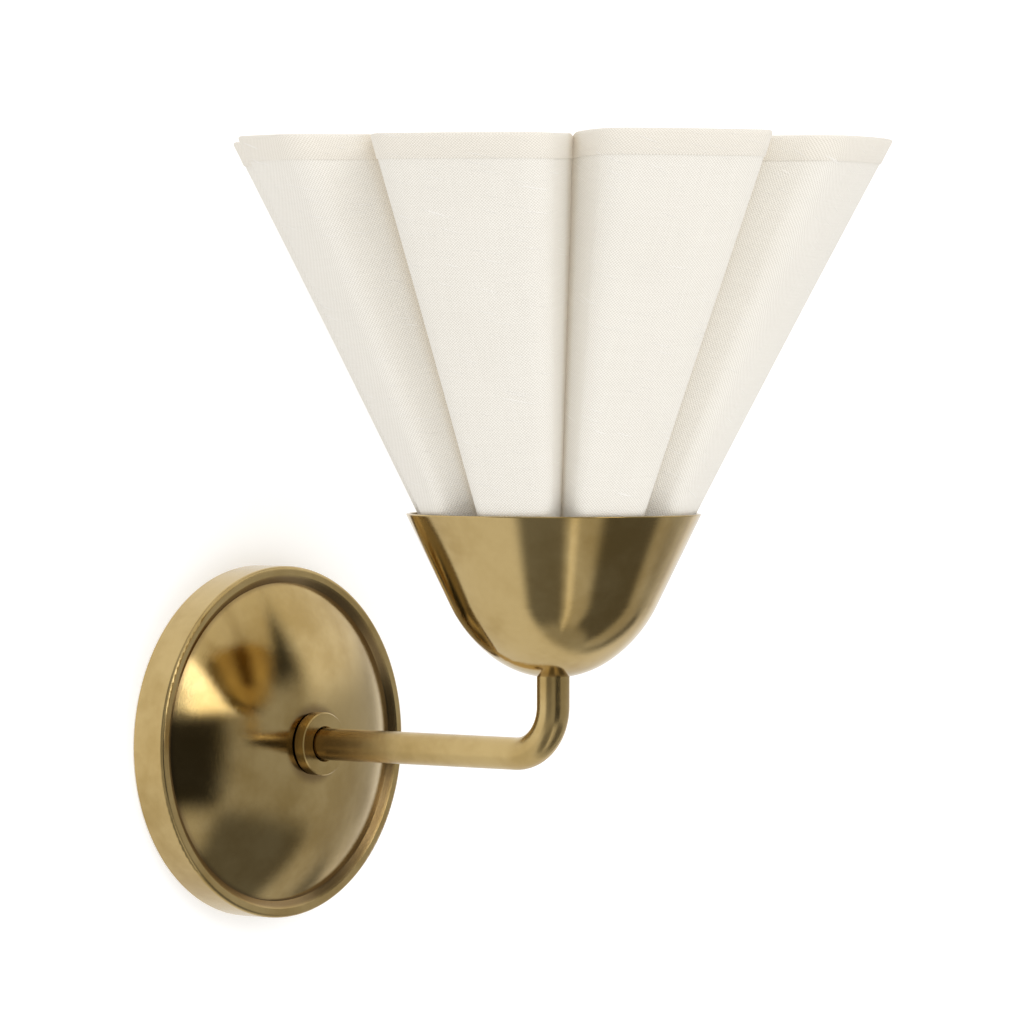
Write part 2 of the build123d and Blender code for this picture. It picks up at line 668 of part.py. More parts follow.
block_screw_seat = BRACKET_SHEET + BLOCK_DEPTH - BLOCK_BASE_WEB
with BuildPart() as terminal_block_screw:
    add(
        pan_screw(block_screw_seat, head_radius=BLOCK_SCREW_HEAD_RADIUS).moved(
            Plane(
                origin=(block_centre_x, -block_screw_seat, block_screw_z),
                x_dir=(1, 0, 0),
                z_dir=(0, -1, 0),
            ).location
        )
    )
save(terminal_block_screw, "terminal_block_screw")

# ================================================================ lampholder
with BuildPart() as lampholder_base:
    with BuildSketch(ARM_PLANE):
        with BuildLine():
            neck_top = holder_base + HOLDER_NECK_LENGTH
            cavity = HOLDER_RADIUS - 2 * HOLDER_WALL
            Polyline(
                (NIPPLE_RADIUS + RUNNING_GAP, holder_base),
                (HOLDER_NECK_RADIUS, holder_base),
                (HOLDER_NECK_RADIUS, neck_top - HOLDER_FLARE),
                (HOLDER_RADIUS, neck_top + HOLDER_FLARE),
                (HOLDER_RADIUS, holder_joint),
                (cavity, holder_joint),
                (cavity, neck_top + HOLDER_FLARE + HOLDER_FLOOR),
                (HOLDER_NECK_RADIUS, neck_top + HOLDER_FLOOR),
                (NIPPLE_RADIUS + RUNNING_GAP, neck_top + HOLDER_FLOOR),
                close=True,
            )
        make_face()
    revolve(axis=LAMP_AXIS)
save(lampholder_base, "lampholder_base")

with BuildPart() as lampholder_skirt:
    with BuildSketch(level(holder_joint)):
        Circle(HOLDER_RADIUS)
    extrude(amount=HOLDER_SKIRT_HEIGHT)
    with BuildSketch(level(flange_top)):
        Circle(HOLDER_FLANGE_RADIUS)
    extrude(amount=-HOLDER_FLANGE_THICKNESS)
    with BuildSketch(level(holder_joint)):
        Circle(HOLDER_RADIUS - HOLDER_WALL)
    extrude(amount=HOLDER_SKIRT_HEIGHT, mode=Mode.SUBTRACT)
save(lampholder_skirt, "lampholder_skirt")

with BuildPart() as lampholder_core:
    with BuildSketch(level(holder_joint)):
        Circle(HOLDER_RADIUS - HOLDER_WALL - CORE_GAP)
    extrude(amount=CORE_THICKNESS)
save(lampholder_core, "lampholder_core")

with BuildPart() as lampholder_screw_shell:
    add(
        tube_between(
            level(core_top),
            SCREW_SHELL_HEIGHT,
            SCREW_SHELL_INNER_RADIUS + SCREW_SHELL_WALL,
            SCREW_SHELL_INNER_RADIUS,
        )
    )
save(lampholder_screw_shell, "lampholder_screw_shell")

with BuildPart() as lampholder_centre_contact:
    with BuildSketch(level(core_top)):
        Circle(CENTRE_CONTACT_RADIUS)
    extrude(amount=CENTRE_CONTACT_HEIGHT)
    fillet(lampholder_centre_contact.edges().group_by(Axis.Z)[-1], CONTACT_SLOPE)
save(lampholder_centre_contact, "lampholder_centre_contact")

with BuildPart() as lampholder_terminals:
    with BuildSketch(level(holder_joint)):
        with Locations((-TERMINAL_X, 0), (TERMINAL_X, 0)):
            Rectangle(TERMINAL_SIZE, TERMINAL_SIZE)
    extrude(amount=-TERMINAL_HEIGHT)
    with BuildSketch(level(holder_joint)):
        with Locations((-TERMINAL_X, 0), (TERMINAL_X, 0)):
            Circle(LEAD_RADIUS + RUNNING_GAP)
    extrude(amount=-TERMINAL_HEIGHT, mode=Mode.SUBTRACT)
    with BuildSketch(Plane(origin=(0, -ARM_REACH, 0), x_dir=(1, 0, 0), z_dir=(0, -1, 0))):
        with Locations(*[(x, holder_joint - TERMINAL_HEIGHT / 2) for x in (-TERMINAL_X, TERMINAL_X)]):
            Circle(PINCH_SCREW_RADIUS + RUNNING_GAP)
    extrude(amount=TERMINAL_SIZE, mode=Mode.SUBTRACT)
save(lampholder_terminals, "lampholder_terminals")

with BuildPart() as lampholder_terminal_screws:
    terminal_screw_start = ARM_REACH + LEAD_RADIUS + 2 * RUNNING_GAP
    with BuildSketch(depth(terminal_screw_start)):
        with Locations(*[(x, holder_joint - TERMINAL_HEIGHT / 2) for x in (-TERMINAL_X, TERMINAL_X)]):
            Circle(PINCH_SCREW_RADIUS)
    extrude(amount=PINCH_SCREW_LENGTH)
    with BuildSketch(depth(terminal_screw_start + PINCH_SCREW_LENGTH)):
        with Locations(*[(x, holder_joint - TERMINAL_HEIGHT / 2) for x in (-TERMINAL_X, TERMINAL_X)]):
            Rectangle(3 * PINCH_SCREW_RADIUS, SCREW_SLOT_WIDTH)
    extrude(amount=-SCREW_SLOT_DEPTH, mode=Mode.SUBTRACT)
save(lampholder_terminal_screws, "lampholder_terminal_screws")


# ================================================================ leads, whole from the terminal block
def corner_radii(points, limits):
    """Arc radius at each inner point: a fair share of the shorter run over the tangent of half the turn."""
    radii = []
    for before, here, after, limit in zip(points, points[1:], points[2:], limits):
        arriving = Vector(here) - Vector(before)
        leaving = Vector(after) - Vector(here)
        turn = arriving.get_angle(leaving)
        fair = LEAD_FAIR_SHARE * min(arriving.length, leaving.length) / tan(radians(turn / 2))
        radii.append(min(fair, limit))
    return radii


def lead(points, limits):
    """Round insulated lead along straight runs joined by tangent arcs."""
    radii = corner_radii(points, limits)
    start = Vector(points[1]) - Vector(points[0])
    with BuildPart() as wire:
        with BuildLine() as route:
            FilletPolyline(*points, radius=radii)
        with BuildSketch(Plane(origin=points[0], z_dir=start)):
            Circle(LEAD_RADIUS)
        sweep(path=route.line)
    print("lead arc radii", [round(radius, 2) for radius in radii], "length", round(route.wire().length, 1))
    return wire.part


entry_x = block_centre_x - BLOCK_LENGTH / 2 + LEAD_ENTRY


def lamp_lead(side, pole_height):
    """Lead from one pole of the block through the arm to one lampholder terminal."""
    x = side * LEAD_SPREAD
    rise = cup_nipple_top + LEAD_RISE
    return lead(
        [
            (entry_x, -pole_depth, pole_height),
            (x, -LEAD_BACK_DEPTH, pole_height),
            (x, -LEAD_BACK_DEPTH, 0),
            (x, -ARM_REACH, 0),
            (x, -ARM_REACH, rise),
            (side * TERMINAL_X, -ARM_REACH, holder_joint - TERMINAL_HEIGHT - LEAD_DROP),
            (side * TERMINAL_X, -ARM_REACH, holder_joint - LEAD_END),
        ],
        [LEAD_FREE_RADIUS, LEAD_TIGHT_RADIUS, BEND_RADIUS, LEAD_FREE_RADIUS, LEAD_FREE_RADIUS],
    )


with BuildPart() as live_lead:
    add(lamp_lead(1, pole_heights[0]))
save(live_lead, "live_lead")

with BuildPart() as neutral_lead:
    add(lamp_lead(-1, pole_heights[1]))
save(neutral_lead, "neutral_lead")

with BuildPart() as earth_lead:
    tag_barrel_depth = BRACKET_SHEET + RING_TAG_BARREL_RADIUS
    add(
        lead(
            [
                (entry_x, -pole_depth, pole_heights[2]),
                (EARTH_SCREW_X + EARTH_LEAD_CORNER, -pole_depth, pole_heights[2]),
                (EARTH_SCREW_X, -tag_barrel_depth, pole_heights[2] + EARTH_LEAD_CORNER),
                (EARTH_SCREW_X, -tag_barrel_depth, tag_barrel_top - LEAD_END),
            ],
            [LEAD_FREE_RADIUS, LEAD_FREE_RADIUS],
        )
    )
save(earth_lead, "earth_lead")

# ================================================================ bulb
cap_bottom = bulb_base + BULB_TIP_HEIGHT + BULB_INSULATOR_HEIGHT
cap_top = cap_bottom + BULB_CAP_HEIGHT
glass_base = cap_top - BULB_NECK_OVERLAP
glass_top = bulb_base + BULB_LENGTH

with BuildPart() as bulb_tip_contact:
    with BuildSketch(level(bulb_base)):
        Circle(BULB_TIP_RADIUS)
    extrude(amount=BULB_TIP_HEIGHT)
    fillet(bulb_tip_contact.edges().group_by(Axis.Z)[0], BULB_TIP_HEIGHT / 2)
save(bulb_tip_contact, "bulb_tip_contact")

with BuildPart() as bulb_insulator:
    with BuildSketch(ARM_PLANE):
        Polygon(
            (0, bulb_base + BULB_TIP_HEIGHT),
            (BULB_TIP_RADIUS + BULB_INSULATOR_STEP, bulb_base + BULB_TIP_HEIGHT),
            (BULB_INSULATOR_TOP_RADIUS, cap_bottom),
            (0, cap_bottom),
            align=None,
        )
    revolve(axis=LAMP_AXIS)
save(bulb_insulator, "bulb_insulator")

with BuildPart() as bulb_cap:
    with BuildSketch(level(cap_bottom)):
        Circle(BULB_CAP_RADIUS)
    extrude(amount=BULB_CAP_HEIGHT)
    fillet(bulb_cap.edges().group_by(Axis.Z)[0], 2 * BULB_CAP_WALL)
    with BuildSketch(level(cap_bottom + BULB_CAP_WALL)):
        Circle(BULB_CAP_RADIUS - BULB_CAP_WALL)
    extrude(amount=BULB_CAP_HEIGHT, mode=Mode.SUBTRACT)
save(bulb_cap, "bulb_cap")


def glass_profile(inset):
    """Half section of the glass from its neck to its top, moved inwards by an inset."""
    neck = BULB_CAP_RADIUS - BULB_CAP_WALL - RUNNING_GAP - inset
    body = BULB_GLASS_RADIUS - inset
    crown = glass_top - BULB_GLASS_RADIUS
    shoulder_top = cap_top + BULB_SHOULDER_HEIGHT
    collar_line = Line((neck, glass_base), (neck, cap_top + BULB_NECK_RISE))
    shoulder_line = Spline(collar_line @ 1, (body, shoulder_top), tangents=[(0, 1), (0, 1)])
    side_line = Line(shoulder_line @ 1, (body, crown))
    crown_line = RadiusArc(side_line @ 1, (0, crown + body), -body)
    return collar_line, crown_line


with BuildPart() as bulb_glass:
    with BuildSketch(ARM_PLANE):
        with BuildLine():
            outer_neck, outer_crown = glass_profile(0)
            inner_neck, inner_crown = glass_profile(BULB_GLASS_WALL)
            Line(outer_neck @ 0, inner_neck @ 0)
            Line(outer_crown @ 1, inner_crown @ 1)
        make_face()
    revolve(axis=LAMP_AXIS)
save(bulb_glass, "bulb_glass")

# ================================================================ shade ring
with BuildPart() as shade_ring:
    with BuildSketch(level(ring_base)):
        Circle(RING_FLANGE_RADIUS)
        with PolarLocations(RING_FLANGE_RADIUS, RING_NOTCHES):
            Circle(RING_NOTCH_RADIUS, mode=Mode.SUBTRACT)
    extrude(amount=RING_FLANGE_THICKNESS)
    with BuildSketch(level(ring_base)):
        Circle(RING_BODY_RADIUS)
    extrude(amount=RING_HEIGHT)
    with BuildSketch(level(ring_base)):
        Circle(HOLDER_RADIUS + RUNNING_GAP)
    extrude(amount=RING_HEIGHT, mode=Mode.SUBTRACT)
save(shade_ring, "shade_ring")

# ================================================================ shade cloth
with BuildPart() as shade_linen:
    add(lobed_frustum(shade_bottom, SHADE_TOP_HEIGHT, 0, LINEN_THICKNESS))
save(shade_linen, "shade_linen")

with BuildPart() as shade_liner:
    add(lobed_frustum(shade_bottom, SHADE_TOP_HEIGHT, LINEN_THICKNESS + LAYER_GAP, shade_skin))
save(shade_liner, "shade_liner")

hem_bottom = SHADE_TOP_HEIGHT - HEM_HEIGHT
hem_top = SHADE_TOP_HEIGHT + HEM_FOLD
hem_outset = LAYER_GAP + HEM_THICKNESS
with BuildPart() as shade_hem:
    add(lobed_frustum(hem_bottom, hem_top, -hem_outset, -LAYER_GAP))
save(shade_hem, "shade_hem")

# ================================================================ shade frame
wire_top = SHADE_TOP_HEIGHT - WELD_GAP
wire_inset = shade_skin + WELD_GAP
with BuildPart() as shade_top_wire:
    add(lobed_frustum(wire_top - TOP_WIRE_SIZE, wire_top, wire_inset, wire_inset + TOP_WIRE_SIZE))
save(shade_top_wire, "shade_top_wire")

bottom_wire_height = shade_bottom + BOTTOM_WIRE_RADIUS
bottom_ring_radius = valley_at(bottom_wire_height, shade_skin) - BOTTOM_WIRE_RADIUS - WELD_GAP
with BuildPart() as shade_bottom_wire:
    with BuildSketch(ARM_PLANE):
        with Locations((bottom_ring_radius, bottom_wire_height)):
            Circle(BOTTOM_WIRE_RADIUS)
    revolve(axis=LAMP_AXIS)
save(shade_bottom_wire, "shade_bottom_wire")


def rib_radius_at(height):
    """Distance of a rib's middle from the lamp's upright axis at a height."""
    return valley_at(height, shade_skin) - RIB_RADIUS - WELD_GAP


rib_bottom = bottom_wire_height + BOTTOM_WIRE_RADIUS + RIB_RADIUS
rib_top = wire_top - TOP_WIRE_SIZE - RIB_RADIUS
rib_foot = Vector(rib_radius_at(rib_bottom), 0, rib_bottom)
rib_head = Vector(rib_radius_at(rib_top), 0, rib_top)
with BuildPart() as shade_ribs:
    rib_run = rib_head - rib_foot
    for lobe in range(SHADE_LOBES):
        turn = lobe * lobe_angle - 90
        foot = rib_foot.rotate(Axis.Z, turn) + Vector(0, -ARM_REACH, 0)
        with BuildSketch(Plane(origin=foot, z_dir=rib_run.rotate(Axis.Z, turn))):
            Circle(RIB_RADIUS)
        extrude(amount=rib_run.length)
save(shade_ribs, "shade_ribs")

with BuildPart() as fitter_ring:
    with BuildSketch(level(flange_top)):
        Circle(FITTER_RADIUS)
        Circle(FITTER_HOLE_RADIUS, mode=Mode.SUBTRACT)
    extrude(amount=FITTER_THICKNESS)
save(fitter_ring, "fitter_ring")

spider_height = flange_top + FITTER_THICKNESS / 2
spider_start = FITTER_RADIUS + WELD_GAP
rib_lean = hypot(1, shade_slope)
spider_end = rib_radius_at(spider_height - SPIDER_WIRE_RADIUS) - RIB_RADIUS * rib_lean - WELD_GAP
with BuildPart() as spider_arms:
    for number in range(SPIDER_ARMS):
        direction = Vector(1, 0, 0).rotate(Axis.Z, number * 360 / SPIDER_ARMS)
        start = direction * spider_start + Vector(0, -ARM_REACH, spider_height)
        with BuildSketch(Plane(origin=start, z_dir=direction)):
            Circle(SPIDER_WIRE_RADIUS)
        extrude(amount=spider_end - spider_start)
save(spider_arms, "spider_arms")
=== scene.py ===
import json
from math import atan2, cos, hypot, pi, radians, sin

import bpy
from mathutils import Matrix, Vector


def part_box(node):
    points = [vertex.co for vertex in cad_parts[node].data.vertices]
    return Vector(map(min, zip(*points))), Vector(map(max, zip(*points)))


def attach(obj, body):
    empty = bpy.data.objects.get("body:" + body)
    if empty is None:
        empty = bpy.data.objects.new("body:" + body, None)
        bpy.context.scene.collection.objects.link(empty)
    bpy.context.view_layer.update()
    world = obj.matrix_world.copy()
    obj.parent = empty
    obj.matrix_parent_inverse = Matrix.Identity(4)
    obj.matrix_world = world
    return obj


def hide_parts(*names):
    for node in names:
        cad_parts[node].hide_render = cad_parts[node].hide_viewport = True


# Looks of a wall light with a lobed linen shade. Everything is in metres, in the frame of the CAD model:
# X runs along the wall, -Y points out of the wall into the room, +Z is up.

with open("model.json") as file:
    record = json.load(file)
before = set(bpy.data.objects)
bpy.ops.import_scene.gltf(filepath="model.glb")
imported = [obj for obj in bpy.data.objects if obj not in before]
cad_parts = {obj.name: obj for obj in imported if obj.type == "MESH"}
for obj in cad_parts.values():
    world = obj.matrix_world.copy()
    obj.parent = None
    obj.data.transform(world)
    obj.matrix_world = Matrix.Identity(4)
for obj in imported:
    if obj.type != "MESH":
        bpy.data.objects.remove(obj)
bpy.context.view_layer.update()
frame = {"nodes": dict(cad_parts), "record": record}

# ---------------------------------------------------------------- places taken from the frame
arm_low, arm_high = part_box("arm")
linen_low, linen_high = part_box("shade_linen")
_, cup_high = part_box("cup")
TUBE_RADIUS = (arm_high.x - arm_low.x) / 2
LAMP_Y = arm_low.y + TUBE_RADIUS
SHADE_TOP = linen_high.z
SHADE_BOTTOM = linen_low.z
CUP_RIM = cup_high.z

# ---------------------------------------------------------------- form of the shade
LOBES = 8
TOP_CREST = 0.130
RIM_CREST = 0.05537
VALLEY_SHARE = 0.777
SHOULDER = 0.013
CREST_SLOPE = (TOP_CREST - RIM_CREST) / (SHADE_TOP - CUP_RIM)
APEX_HEIGHT = CUP_RIM - RIM_CREST / CREST_SLOPE
# Angles of each lobe's round front to either side of its middle, in degrees.
LOBE_HALF_ANGLES = [
    (12.5, 12.5), (11.0, 10.0), (10.0, 11.0), (10.0, 10.0),
    (10.0, 1.5), (2.0, 10.0), (9.5, 12.5), (12.5, 9.1),
]
# How far each lobe's top edge stands above or below the regular one.
LOBE_LIFT = [0.0, -0.0004, 0.0003, 0.0002, -0.0003, -0.0002, -0.0006, 0.0012]
LIFT_POWER = 3
LIFT_FLATNESS = 6
CLOTH_SAG = 0.0006
SAG_FLATNESS = 4
VALLEY_DROP = 0.0012
VALLEY_DROP_WIDTH = 0.05
VALLEY_DROP_POWER = 30

# ---------------------------------------------------------------- layers of the shade
LINEN_THICKNESS = 0.0005
LINER_THICKNESS = 0.0004
LAYER_GAP = 0.00005
LINER_OUTER = LINEN_THICKNESS + LAYER_GAP
LINER_INNER = LINER_OUTER + LINER_THICKNESS
TOP_WIRE_RADIUS = 0.0009
WIRE_GAP = 0.0001
HEM_HEIGHT = 0.009
HEM_INSIDE_HEIGHT = 0.008
HEM_THICKNESS = 0.0003
HEM_TURNED_THICKNESS = 0.9 * HEM_THICKNESS
HEM_OUTSIDE = -LAYER_GAP - HEM_THICKNESS
HEM_INSIDE = LINER_INNER + 2 * TOP_WIRE_RADIUS + WIRE_GAP
HEM_FOLD_MIDDLE = (HEM_OUTSIDE + HEM_INSIDE) / 2
HEM_FOLD_RADIUS = (HEM_INSIDE - HEM_OUTSIDE) / 2
HEM_FOLD = 0.0005
HEM_SEAM_HEIGHT = 0.0004
HEM_SEAM_BULGE = 0.00012
HEM_FLAT_HEIGHT = 0.004
HEM_BEND_DROP = 0.0035
HEM_BEND_EASE = 0.0002
HEM_LIP = 0.001

# ---------------------------------------------------------------- fineness of the cloth meshes
FLANK_STEPS = 12
SHOULDER_STEPS = 12
CREST_STEPS = 9
CLOTH_ROWS = 44
FOLD_STEPS = 8
WIRE_STEPS = 12
SHARP_ANGLE = 35.0
FAN_SPACING = 0.1


# ================================================================ shader helpers
def new_material(name):
    """A material with a Principled shader; returns the material, its node tree and the shader."""
    material = bpy.data.materials.new(name)
    material.use_nodes = True
    tree = material.node_tree
    return material, tree, tree.nodes["Principled BSDF"]


def put(tree, kind, **settings):
    """Adds a shader node with its settings."""
    node = tree.nodes.new(kind)
    for key, value in settings.items():
        setattr(node, key, value)
    return node


def feed(tree, socket, value):
    """Gives a socket a number, a colour or the output of another node."""
    if isinstance(value, (int, float)):
        socket.default_value = value
    elif hasattr(value, "__len__"):
        socket.default_value = (*value, 1.0)
    else:
        tree.links.new(value, socket)


def math_node(tree, operation, *values):
    """Adds a Math node on one or two values, each a socket or a number, and returns its output."""
    node = put(tree, "ShaderNodeMath", operation=operation)
    for socket, value in zip(node.inputs, values):
        feed(tree, socket, value)
    return node.outputs[0]


def plus(tree, first, second):
    """Sum of two values."""
    return math_node(tree, "ADD", first, second)


def minus(tree, first, second):
    """Difference of two values."""
    return math_node(tree, "SUBTRACT", first, second)


def times(tree, first, second):
    """Product of two values."""
    return math_node(tree, "MULTIPLY", first, second)


def fade_in(tree, value, low, high):
    """0 below low, 1 above high, smooth in between."""
    node = put(tree, "ShaderNodeMapRange", interpolation_type="SMOOTHSTEP")
    node.inputs["From Min"].default_value = low
    node.inputs["From Max"].default_value = high
    tree.links.new(value, node.inputs["Value"])
    return node.outputs["Result"]


def fade_out(tree, value, low, high):
    """1 below low, 0 above high, smooth in between."""
    return minus(tree, 1.0, fade_in(tree, value, low, high))


def ramp(tree, value, dark_end, light_end, interpolation="EASE"):
    """Adds a colour ramp over a value; each end is its place and its colour."""
    node = put(tree, "ShaderNodeValToRGB")
    node.color_ramp.interpolation = interpolation
    for element, (place, colour) in zip(node.color_ramp.elements, (dark_end, light_end)):
        element.position = place
        element.color = (*colour, 1.0)
    tree.links.new(value, node.inputs["Fac"])
    return node.outputs["Color"]


def mix_colour(tree, factor, first, second):
    """Mixes two colours, each a socket or a tuple, by a factor."""
    node = put(tree, "ShaderNodeMix", data_type="RGBA")
    colour_inputs = [socket for socket in node.inputs if socket.type == "RGBA"]
    for socket, value in zip([node.inputs[0], *colour_inputs], (factor, first, second)):
        feed(tree, socket, value)
    return next(socket for socket in node.outputs if socket.type == "RGBA")


def noise(tree, vector, scale, detail, roughness=0.5):
    """Adds a noise texture and returns its value."""
    node = put(tree, "ShaderNodeTexNoise")
    node.inputs["Scale"].default_value = scale
    node.inputs["Detail"].default_value = detail
    node.inputs["Roughness"].default_value = roughness
    tree.links.new(vector, node.inputs["Vector"])
    return node.outputs["Fac"]


def separate(tree, vector):
    """X, Y and Z of a vector."""
    node = put(tree, "ShaderNodeSeparateXYZ")
    tree.links.new(vector, node.inputs[0])
    return tuple(node.outputs)


def combine(tree, *values):
    """A vector from three values, each a socket or a number."""
    node = put(tree, "ShaderNodeCombineXYZ")
    for socket, value in zip(node.inputs, values):
        feed(tree, socket, value)
    return node.outputs[0]


def object_place(tree):
    """The point in the object's own frame."""
    return put(tree, "ShaderNodeTexCoord").outputs["Object"]


def distance_from_axis(tree, x, z):
    """Distance from the backplate's axis, which runs along Y."""
    return math_node(tree, "SQRT", plus(tree, times(tree, x, x), times(tree, z, z)))


def bump(tree, shader, height, strength, distance=0.0002):
    """Sets a bump on the shader's normal."""
    node = put(tree, "ShaderNodeBump")
    node.inputs["Strength"].default_value = strength
    node.inputs["Distance"].default_value = distance
    tree.links.new(height, node.inputs["Height"])
    tree.links.new(node.outputs["Normal"], shader.inputs["Normal"])


# ================================================================ metal
BRASS_LIGHT = (0.64, 0.48, 0.215)
BRASS_DARK = (0.47, 0.325, 0.115)
BRASS_GROOVE = (0.23, 0.145, 0.065)
BRASS_CLOUDS = 26.0
BRASS_SPOTS = 260.0
SPOT_SHARE = 0.25
LACQUER = 0.25
LACQUER_ROUGHNESS = 0.12
PLATE_ROUGHNESS = 0.05
CUP_ROUGHNESS = 0.06
ARM_ROUGHNESS = 0.16
COLLAR_ROUGHNESS = 0.14

# Lines per metre, or per radian round an axis, that the turning and brushing left.
TURNED_LINES = 5200.0
CUP_LINES = 4200.0
ARM_LINES = 3600.0
PLATE_LINES_ROUND = 9.0
CUP_LINES_ROUND = 5.0
ARM_LINES_ACROSS = 120.0
COLLAR_LINES_ACROSS = 60.0
LINE_DETAIL = 3.0
LINE_ROUGHNESS = 0.65

# Radii on the backplate between which its finish changes.
RIM_STARTS = (0.0628, 0.0642)
GROOVE_STARTS = (0.0615, 0.0640)
GROOVE_ENDS = (0.0650, 0.0668)
COLLAR_STAIN_ENDS = (0.0128, 0.0175)
PLATE_STAIN = 0.75
RIM_SATIN = 0.16
# Distances from the wall between which the arm's dark patina by the collar ends.
ARM_STAIN_ENDS = (0.040, 0.080)
ARM_STAIN = 0.6

METAL_GRAINS_PER_CLOUD = 40
METAL_GRAIN_SPREAD = 0.15
SOLID_GRAINS_PER_CLOUD = 12
SOLID_GRAIN_SPREAD = 0.12
SOLID_DARK_SHARE = 0.95


def new_brass(name):
    """Aged brass with cloudy colour, for its variants to add to."""
    material, tree, shader = new_material(name)
    place = object_place(tree)
    cloud = noise(tree, place, BRASS_CLOUDS, detail=4.0, roughness=0.6)
    spots = noise(tree, place, BRASS_SPOTS, detail=3.0, roughness=0.6)
    colour = ramp(tree, cloud, (0.30, BRASS_DARK), (0.62, BRASS_LIGHT))
    colour = mix_colour(tree, times(tree, spots, SPOT_SHARE), colour, BRASS_DARK)
    shader.inputs["Metallic"].default_value = 1.0
    shader.inputs["Coat Weight"].default_value = LACQUER
    shader.inputs["Coat Roughness"].default_value = LACQUER_ROUGHNESS
    tree.links.new(colour, shader.inputs["Base Color"])
    return material, tree, shader, colour, separate(tree, place)


def stain_brass(tree, shader, colour, share):
    """Darkens the brass where share is above 0."""
    tree.links.new(mix_colour(tree, share, colour, BRASS_GROOVE), shader.inputs["Base Color"])


def brush(tree, shader, along, around, spread, depth):
    """Fine lines, fast along one coordinate and slow along the other; returns their part of the roughness."""
    lines = noise(tree, combine(tree, along, around, 0.0), 1.0, LINE_DETAIL, LINE_ROUGHNESS)
    bump(tree, shader, lines, depth)
    return times(tree, lines, spread)


def plate_brass():
    """Backplate: polished dome with circular scratches, brown groove and satin rim."""
    material, tree, shader, colour, (x, _, z) = new_brass("brass_plate")
    radius = distance_from_axis(tree, x, z)
    turn = math_node(tree, "ARCTAN2", z, x)
    groove = minus(tree, fade_in(tree, radius, *GROOVE_STARTS), fade_in(tree, radius, *GROOVE_ENDS))
    stain = math_node(tree, "MAXIMUM", groove, fade_out(tree, radius, *COLLAR_STAIN_ENDS))
    stain_brass(tree, shader, colour, times(tree, stain, PLATE_STAIN))
    along = times(tree, radius, TURNED_LINES)
    lines = brush(tree, shader, along, times(tree, turn, PLATE_LINES_ROUND), spread=0.08, depth=0.10)
    satin = times(tree, fade_in(tree, radius, *RIM_STARTS), RIM_SATIN)
    tree.links.new(plus(tree, satin, plus(tree, lines, PLATE_ROUGHNESS)), shader.inputs["Roughness"])
    return material


def cup_brass():
    """Cup: fine horizontal brushing round the lamp's axis."""
    material, tree, shader, _, (x, y, z) = new_brass("brass_cup")
    turn = math_node(tree, "ARCTAN2", minus(tree, y, LAMP_Y), x)
    along = times(tree, z, CUP_LINES)
    lines = brush(tree, shader, along, times(tree, turn, CUP_LINES_ROUND), spread=0.10, depth=0.08)
    tree.links.new(plus(tree, lines, CUP_ROUGHNESS), shader.inputs["Roughness"])
    return material


def arm_brass():
    """Arm: fine lines round the tube, darker next to the collar."""
    material, tree, shader, colour, (x, y, z) = new_brass("brass_arm")
    near_collar = fade_out(tree, times(tree, y, -1.0), *ARM_STAIN_ENDS)
    stain_brass(tree, shader, colour, times(tree, near_collar, ARM_STAIN))
    along = times(tree, minus(tree, z, y), ARM_LINES)
    lines = brush(tree, shader, along, times(tree, x, ARM_LINES_ACROSS), spread=0.14, depth=0.12)
    tree.links.new(plus(tree, lines, ARM_ROUGHNESS), shader.inputs["Roughness"])
    return material


def collar_brass():
    """Collar: turned lines on its face and edge."""
    material, tree, shader, _, (x, y, z) = new_brass("brass_collar")
    along = times(tree, minus(tree, distance_from_axis(tree, x, z), y), TURNED_LINES)
    lines = brush(tree, shader, along, times(tree, x, COLLAR_LINES_ACROSS), spread=0.14, depth=0.12)
    tree.links.new(plus(tree, lines, COLLAR_ROUGHNESS), shader.inputs["Roughness"])
    return material


def plain_metal(name, colour, dark, roughness, clouds):
    """Turned or pressed metal with cloudy tarnish."""
    material, tree, shader = new_material(name)
    place = object_place(tree)
    cloud = noise(tree, place, clouds, detail=4.0, roughness=0.6)
    tree.links.new(ramp(tree, cloud, (0.35, dark), (0.65, colour)), shader.inputs["Base Color"])
    grain = noise(tree, place, clouds * METAL_GRAINS_PER_CLOUD, detail=2.0)
    tree.links.new(plus(tree, times(tree, grain, METAL_GRAIN_SPREAD), roughness), shader.inputs["Roughness"])
    shader.inputs["Metallic"].default_value = 1.0
    bump(tree, shader, grain, strength=0.05)
    return material


def plain_solid(name, colour, roughness, grains=400.0, depth=0.05, coat=0.0):
    """Moulded, coated or glazed solid with fine grain and faint cloudiness."""
    material, tree, shader = new_material(name)
    place = object_place(tree)
    cloud = noise(tree, place, grains / SOLID_GRAINS_PER_CLOUD, detail=3.0)
    dark = tuple(SOLID_DARK_SHARE * channel for channel in colour)
    tree.links.new(ramp(tree, cloud, (0.30, dark), (0.70, colour)), shader.inputs["Base Color"])
    grain = noise(tree, place, grains, detail=3.0, roughness=0.6)
    tree.links.new(plus(tree, times(tree, grain, SOLID_GRAIN_SPREAD), roughness), shader.inputs["Roughness"])
    shader.inputs["Coat Weight"].default_value = coat
    bump(tree, shader, grain, depth, distance=0.0003)
    return material


# ================================================================ cloth
THREAD_PITCH = 0.0012
THREAD_WOBBLE = 60.0
THREAD_WOBBLE_TURN = 5.0
YARN_ACROSS = 1500.0
YARN_ALONG = 40.0
SLUB_ACROSS = 1000.0
SLUB_ALONG = 55.0
SLUB_SLOPE = 260.0
SLUB_STARTS = (0.66, 0.74)
SLUB_SHARE = 0.6
SLUB_LIGHT = (0.96, 0.94, 0.90)
# Painted shade in the creases between lobes: its tan colour, where along the lobe it starts, and how strongly
# it covers the cloth.
LINEN_CREASE_SHADE = (0.66, 0.57, 0.43)
CREASE_SHADE_STARTS = (0.86, 1.0)
CREASE_SHADE_SHARE = 0.45
LINEN_CLOUDS = 22.0
